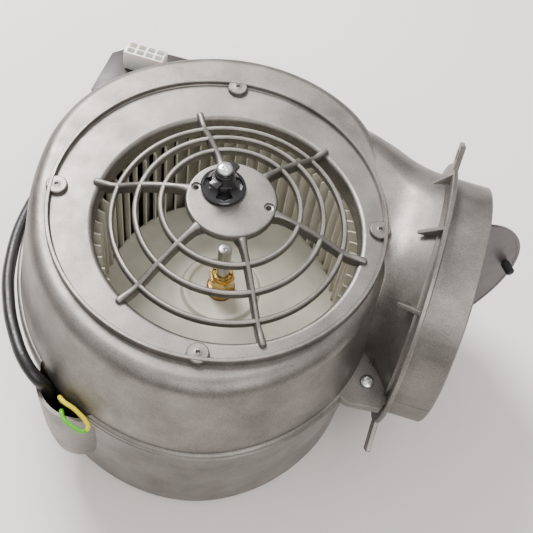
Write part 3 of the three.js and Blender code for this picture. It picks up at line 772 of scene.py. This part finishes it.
# ---- Shaft, collet and clamp nut ----
# A ground steel motor shaft stands up through the hub; a brass collet and a hexagon nut with a
# slotted collar clamp the impeller on it.
steel = finish("ground_steel",
               lambda v: v.noise(260, 3, stretch=(1, 1, 6)).blend((0.36, 0.35, 0.33), (0.52, 0.51, 0.49)),
               lambda v: v.noise(320, 3, stretch=(1, 1, 8)) * 0.2 + 0.22, 1.0,
               lambda v: v.noise(700, 2, stretch=(1, 1, 10)).bump(0.00004, 0.5))
brass = finish("turned_brass",
               lambda v: v.noise(240, 4).steps(0.3, 0.7).blend((0.42, 0.26, 0.07), (0.62, 0.42, 0.14)),
               lambda v: v.noise(380, 3, stretch=(1, 1, 7)) * 0.22 + 0.15, 1.0,
               lambda v: v.noise(520, 2, stretch=(1, 1, 9)).bump(0.00005, 0.5))
SHAFT_R = 4
SHAFT_TOP = 122
shaft = spun("shaft_rod", [(0, 12), (SHAFT_R - 0.5, 12), (SHAFT_R, 12.5), (SHAFT_R, SHAFT_TOP - 0.9),
                           (SHAFT_R - 0.2, SHAFT_TOP - 0.3), (SHAFT_R - 0.8, SHAFT_TOP), (1.2, SHAFT_TOP),
                           (0.8, SHAFT_TOP - 0.5), (0, SHAFT_TOP - 0.8)], steps=48)
dressed(shaft, steel, "steel", "rotor", "motor_shaft")
collet = spun("collet_sleeve", [(4.3, DISC_HUB - 7), (8.3, DISC_HUB - 7), (8.7, DISC_HUB - 6.6),
                                (8.7, DISC_HUB + 2.8), (7.9, DISC_HUB + 3.6),
                                (4.3, DISC_HUB + 3.6)], steps=64)
dressed(collet, brass, "brass", "rotor", "impeller_collet")
nut_z = DISC_HUB + 4
hexagon = combine(extruded("hexagon", [polar(8, 60 * i) for i in range(6)], nut_z, nut_z + 11, 0.2),
                  "INTERSECT", [
    spun("chamfer", [(0, nut_z - 1), (7.3, nut_z - 1), (8.2, nut_z + 0.8), (8.2, nut_z + 10),
                     (7.1, nut_z + 11.4), (0, nut_z + 11.4)], steps=72)])
neck_of_nut = spun("nut_collar", [(0, nut_z + 9), (6.4, nut_z + 9), (6.4, nut_z + 13.4),
                                  (5.9, nut_z + 14), (0, nut_z + 14)], steps=64)
nut = combine(hexagon, "UNION", [neck_of_nut])
nut = combine(nut, "DIFFERENCE", [disc(4.3, 0, 200, steps=48),
                                  block(-9, 9, -0.8, 0.8, nut_z + 11.6, nut_z + 20)])
nut.name = "hexagon_nut"
dressed(nut, brass, "brass", "rotor", "clamp_nut", angle=28)

# ---- Motor ----
# An external-stack induction motor inside the lower half of the impeller: laminated stator and rotor,
# two copper windings, two pressed end shields with a bearing each. It is carried by a three-armed
# support ring on three rubber mounts.
laminated = finish("lamination_edges", lambda v: (v.noise(90, 3) * 0.5 + v.noise(2200, 1,
    stretch=(0.02, 0.02, 1)) * 0.6).blend(
    (0.10, 0.10, 0.105), (0.33, 0.33, 0.33)), 0.45, 0.85,
    lambda v: v.noise(2200, 1, stretch=(0.02, 0.02, 1)).bump(0.0001, 0.7))
enamelled = finish("copper_turns", lambda v: v.noise(1500, 2,
                                                     stretch=(0.4, 0.4, 1)).blend((0.22, 0.07, 0.025),
                                                         (0.50, 0.19, 0.07)),
                   0.28, 0.9, lambda v: v.noise(1600, 2, stretch=(0.4, 0.4, 1)).bump(0.0003, 0.8))
rubber = finish("matt_rubber", lambda v: v.noise(300, 3).blend((0.008, 0.008, 0.008),
    (0.022, 0.021, 0.021)), 0.72, 0.0,
                lambda v: v.noise(900, 3).bump(0.0001, 0.5))
dressed(spun("rotor_stack", [(4.3, 27), (21.6, 27), (22, 27.4), (22, 52.6), (21.6, 53), (4.3, 53)],
             steps=96),
        laminated, "lamination", "rotor", "rotor_core")
stator = spun("stator_stack", [(22.6, 26), (39.6, 26), (40, 26.4), (40, 53.6), (39.6, 54), (22.6, 54)],
              steps=96)
stator = combine(stator, "DIFFERENCE", [disc(2.2, 0, 90, polar(36, a), 24) for a in (30, 150, 270)])
stator.name = "stator_stack"
dressed(stator, laminated, "lamination", "casing", "stator_core")
for name, low, high in (("upper", 54.3, 62), ("lower", 18, 25.7)):
    ring = spun(f"winding_{name}_coil", [(24, low + 1), (26, low), (31.5, low), (33.5, low + 0.8),
                                         (34.5, low + 2.2), (34.5, high - 2.2), (33.5, high - 0.8),
                                         (31.5, high), (26, high), (24, high - 1)],
                                         steps=96)
    dressed(ring, enamelled, "copper", "casing", f"winding_{name}")
for name, flip in (("lower", 1), ("upper", -1)):
    profile = [(9.3, 12), (25, 12), (27, 12.3), (39, 15.2), (40.6, 16.2), (41, 17.6), (41, 25.7),
               (38.2, 25.7), (38.2, 18), (37.4, 17.3), (26, 15), (9.3, 15)]
    shell = spun(f"end_shield_{name}_pressing", [(r, z if flip > 0 else 80 - z) for r, z in profile],
                 steps=96)
    dressed(shell, cast, "cast_aluminium", "casing", f"end_shield_{name}")
    bearing_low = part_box(f"bearing_{name}")[0].z / MM
    race = spun(f"bearing_{name}_race", [
        (4.2, bearing_low), (5.4, bearing_low), (5.5, bearing_low + 0.5), (7.6, bearing_low + 0.5),
        (7.7, bearing_low), (8.7, bearing_low), (9, bearing_low + 0.3), (9, bearing_low + 4.7),
        (8.7, bearing_low + 5), (7.7, bearing_low + 5), (7.6, bearing_low + 4.5),
        (5.5, bearing_low + 4.5), (5.4, bearing_low + 5), (4.2, bearing_low + 5)], steps=64)
    on_body = "rotor" if body_of(frame["nodes"][f"bearing_{name}"]) == ["rotor"] else "casing"
    dressed(race, steel, "steel", on_body, f"bearing_{name}")
for i, a in enumerate(ARMS, 1):
    mount = spun(f"rubber_mount_{i}_bobbin", [(0, 5.3), (5.6, 5.3), (6, 5.7), (6, 6.6), (4.9, 7.4),
                                              (4.6, 8), (5, 8.4), (6, 9.2), (6, 11.1), (5.6, 11.5),
                                              (0, 11.5)], polar(24, a), 40)
    dressed(mount, rubber, "rubber", "casing", f"rubber_mount_{i}")
support = combine(disc(32, 0, 5, steps=96, edge=0.8), "UNION", [
    spun("support_ring", [(INLET_R + 5.2, 0), (INLET_R + 12.4, 0), (INLET_R + 13, 0.6), (INLET_R + 13, 3),
                          (INLET_R + 5.2, 3)], steps=FINE),
    *[strip(28, INLET_R + 8, 9, a, 0, 5, 0.9) for a in ARMS]])
support = combine(support, "DIFFERENCE", [disc(1.9, -1, 9, c, 24) for c in support_screw_places]
                  + [disc(3.6, -1, 2, c, 24) for c in support_screw_places])
support.name = "support_spider"
dressed(support, cast, "cast_aluminium", "casing", "motor_support")

# ---- Non-return flap ----
# Two satin brown-grey half discs hinged on one upright steel pin across the collar, each with a
# thickened rim and two knuckles. The far one carries a rubber buffer peg that stops it on the wall.
FLAP_R = 70
KNUCKLE = 4.2
HINGE = [c / MM for c in frame["joints"][1]["pos_m"][:2]]
FLAP_OPEN = 53
flap_satin = finish("flap_satin", lambda v: v.noise(45, 4).steps(0.3, 0.7).blend((0.048, 0.039, 0.039),
    (0.070, 0.058, 0.058)),
                    lambda v: v.noise(120, 3) * 0.18 + 0.36, 0.0,
                    lambda v: v.noise(700, 3).bump(0.0001, 0.5))


def half_flap(name, knuckles, degrees, hole=False):
    rim = [(FLAP_R * math.cos(a),
            FLAP_R * math.sin(a)) for a in (math.radians(-85.7 + 171.4 * i / 48) for i in range(49))]
    inner = [(x * 0.965, y * 0.965) for x, y in rim]
    plate = extruded("plate", rim, -0.7, 0.7, 0.3, 50)
    lip = extruded("lip", rim + inner[::-1], -0.9, 0.9, 0.25, 50)
    upright = [moved(moved(p, turn=(90, 0, 0)), turn=(0, 0, 90)) for p in (plate, lip)]
    parts = [disc(KNUCKLE, z0, z1, steps=32, edge=0.5) for z0, z1 in knuckles]
    parts += [block(-0.9, 0.9, 0, 6, z0, z1) for z0, z1 in knuckles]
    flap = combine(upright[0], "UNION", [upright[1], *parts])
    tools = [disc(2.3, -80, 80, steps=24)]
    if hole:
        tools.append(moved(moved(disc(1.4, -5, 5, steps=24), turn=(0, 90, 0)), (0, 59, 11)))
    flap = combine(flap, "DIFFERENCE", tools)
    flap.name = name
    return moved(moved(flap, turn=(0, 0, degrees)), (*HINGE, SEAM))


far = half_flap("flap_far_leaf", ((34, 46), (-46, -34)), -FLAP_OPEN, hole=True)
dressed(far, flap_satin, "flap_plastic", "far_flap", "flap_far")
near = half_flap("flap_near_leaf", ((50, 62), (-62, -50)), 180)
dressed(near, flap_satin, "flap_plastic", "near_flap", "flap_near")
peg = spun("flap_buffer_peg", [(0, -0.6), (1.1, -0.6), (1.1, 1.2), (2.4, 1.2), (2.8, 1.7), (2.8, 8.4),
                               (2.5, 9.3), (1.8, 9.8), (0, 9.8)], steps=40)
peg = moved(moved(moved(peg, turn=(0, 90, 0)), (0, 59, 11)), turn=(0, 0, -FLAP_OPEN))
peg = moved(peg, (*HINGE, SEAM))
dressed(peg, rubber, "rubber", "far_flap", "flap_buffer")
pin = spun("flap_pin_rod", [(0, SEAM - 71.5), (1.5, SEAM - 71.5), (2, SEAM - 71), (2, SEAM + 71),
                            (1.5, SEAM + 71.5), (0, SEAM + 71.5)], HINGE, 32)
dressed(pin, steel, "steel", "casing", "flap_pin")

# ---- Motor lead and earth wire ----
# The motor's cores run in a glossy black sleeve from the pouch in the lower casing, round the drum to
# the connector. The yellow and green earth wire loops out of the pouch beside it and back.
LEAD = ((-120.5, 4.8, 66), (-120.6, 4.8, 79), (-121.2, 4.8, 89), (-123.2, 7.2, 96.5), (-128, 8.2, 100),
        (-136, 7.2, 98.5), (-148, 6.4, 95.5), (-162, 6.1, 91.5), (178, 6, 86), (165, 5.6, 80), (152, 6, 78),
        (143, 8, 77), (136.5, 10.5, 78.5), (132, 12.5, 84), (129.5, 13.5, 94), (128, 14, 105))
LEAD_END = (-91, 116)
EARTH = ((-60.8, -104.2, 85), (-60.8, -104.4, 90), (-60, -106.2, 95), (-56, -108.6, 96.6),
         (-51, -109.8, 95.8), (-46.6, -111.5, 94.8), (-42.2, -113.8, 93.6), (-39.8, -116.6, 92.2),
         (-41.5, -118.8, 90.9), (-45.5, -118.8, 91), (-50, -117.8, 91.6), (-54.5, -115.6, 92),
         (-57, -112.2, 91.6), (-57.6, -110.8, 88), (-57.6, -110.6, 83))


def cable(name, points, radius, sides):
    """A round cable through the points: a smooth curve with a round section, made into a mesh."""
    deselect()
    bpy.ops.curve.primitive_bezier_curve_add(radius=MM)
    piece = bpy.context.object
    piece.name = name
    line = piece.data
    line.dimensions = "3D"
    spline = line.splines[0]
    spline.bezier_points.add(len(points) - 2)
    for i, (knot, point) in enumerate(zip(spline.bezier_points, points)):
        knot.co = Vector(point) * MM
        knot.handle_left_type = knot.handle_right_type = "AUTO"
    spline.resolution_u = 10
    line.bevel_depth = radius * MM
    line.bevel_resolution = sides // 2 - 2
    line.use_fill_caps = True
    bpy.ops.object.convert(target="MESH")
    piece = bpy.context.object
    moved(piece)
    return tidy(piece)


sleeve = finish("black_sleeve",
                lambda v: v.noise(120, 4).blend((0.006, 0.005, 0.006), (0.015, 0.014, 0.016)),
                lambda v: v.noise(260, 3).steps(0.3, 0.7) * 0.15 + 0.3, 0.0,
                lambda v: v.noise(620, 3).bump(0.00025, 0.6))
route = [(*at_wall(a, out), z) for a, out, z in LEAD] + [(*LEAD_END, z) for z in (115, 122.9)]
lead = cable("motor_lead_sleeve", route, 3.7, 16)
dressed(lead, sleeve, "lead_sleeve", "casing", "motor_lead", angle=60)


def sheath(name, dark, light):
    return finish(name, lambda v: v.noise(250, 3).blend(dark, light),
                  lambda v: v.noise(300, 2) * 0.15 + 0.28, 0.0,
                  lambda v: v.noise(900, 2).bump(0.00004, 0.5))


yellow = sheath("earth_yellow", (0.70, 0.55, 0.004), (0.84, 0.70, 0.01))
green = sheath("earth_green", (0.05, 0.36, 0.01), (0.12, 0.50, 0.02))
earth = cable("earth_wire_sheath", EARTH, 1.3, 12)
dressed(earth, yellow, "earth_sheath", "casing", "earth_wire", angle=60)
earth.data.materials.append(green)
STRIPE_FROM = EARTH.index((-39.8, -116.6, 92.2))
for face in earth.data.polygons:
    nearest = min(range(len(EARTH)), key=lambda k: (face.center / MM - Vector(EARTH[k])).length)
    face.material_index = int(nearest > STRIPE_FROM)

# ---- Connector and its bracket ----
# A dark angular plastic plate screwed to the drum's far side holds a translucent white nylon
# connector of two rows of four cells, with a chamfered shoulder on its left.
BRACKET_AT = 126
dark_plastic = finish("dark_plastic",
                      lambda v: v.noise(80, 4).blend((0.022, 0.018, 0.018), (0.045, 0.038, 0.038)),
                      lambda v: v.noise(200, 3) * 0.2 + 0.34, 0.0,
                      lambda v: v.noise(800, 2).bump(0.00012, 0.5))


def on_wall(profile, steps=32):
    return moved(moved(spun("turned", profile, steps=steps), turn=(0, 90, 0)), turn=(0, 0, BRACKET_AT))


wall_x, wall_y = at_wall(BRACKET_AT, 0)
plate = extruded("bracket_plate", [(-60, 90), (-60, 130), (-66, 134), (-80, 133.6), (-108, 128.6),
                                   (-116, 121), (-117, 86), (-100, 80)],
                 120, 123, 0.5)
foot_strip = moved(strip(90, 150, 20, BRACKET_AT, 98, 121.5), (*DRUM_AT, 0))
foot_strip = combine(foot_strip, "INTERSECT", [lofted("shell", [drum_ring(4, 60), drum_ring(4, 130)])])
bracket = combine(plate, "UNION", [foot_strip])
bracket = combine(bracket, "DIFFERENCE", [
    lofted("inner", [drum_ring(0.8, 50), drum_ring(0.8, 135)]),
    moved(on_wall([(0, -12), (1.9, -12), (1.9, 12), (0, 12)]), (wall_x, wall_y, 109)),
    disc(4.6, 110, 130, LEAD_END, 32)])
bracket.name = "bracket_moulding"
dressed(bracket, dark_plastic, "bracket_plastic", "casing", "connector_bracket")
screw = moved(moved(pan_screw("bracket_screw_head", 4, 2.4, 1.6, 11.2), turn=(0, 90, 0)),
              turn=(0, 0, BRACKET_AT))
screw = moved(screw, (wall_x + 4.5 * math.cos(math.radians(BRACKET_AT)),
                      wall_y + 4.5 * math.sin(math.radians(BRACKET_AT)), 109))
dressed(screw, zinc, "zinc_screw", "casing", "bracket_screw")
nylon = finish("nylon", lambda v: v.noise(150, 3).blend((0.74, 0.77, 0.72), (0.86, 0.88, 0.84)),
               lambda v: v.noise(220, 3) * 0.2 + 0.25,
               0.0, lambda v: v.noise(400, 2).bump(0.0001, 0.4), Subsurface_Weight=0.35,
               Subsurface_Scale=0.004)
shoulder = [(-104, 110.5), (-78, 110.5), (-78, 121.5), (-100.5, 121.5), (-104, 118)]
housing = extruded("housing", shoulder, 123.3, 138, 0.4)
cells = []
for i in range(4):
    for j in range(2):
        x, y = -102.2 + i * 6.15, 111.6 + j * 4.7
        cells.append(extruded("cell", [(x + 0.6, y), (x + 4.2, y), (x + 4.8, y + 0.6), (x + 4.8, y + 3.2),
                                       (x + 4.2, y + 3.8), (x + 0.6, y + 3.8), (x, y + 3.2),
                                       (x, y + 0.6)], 128, 150))
latches = [block(-98, -92, 121.2, 122.6, 126, 137, 0.3), block(-104.9, -103.6, 112, 116, 125, 133, 0.3)]
housing = combine(combine(housing, "UNION", latches), "DIFFERENCE", cells)
housing.name = "connector_moulding"
dressed(housing, nylon, "connector_nylon", "casing", "connector_housing", angle=30)
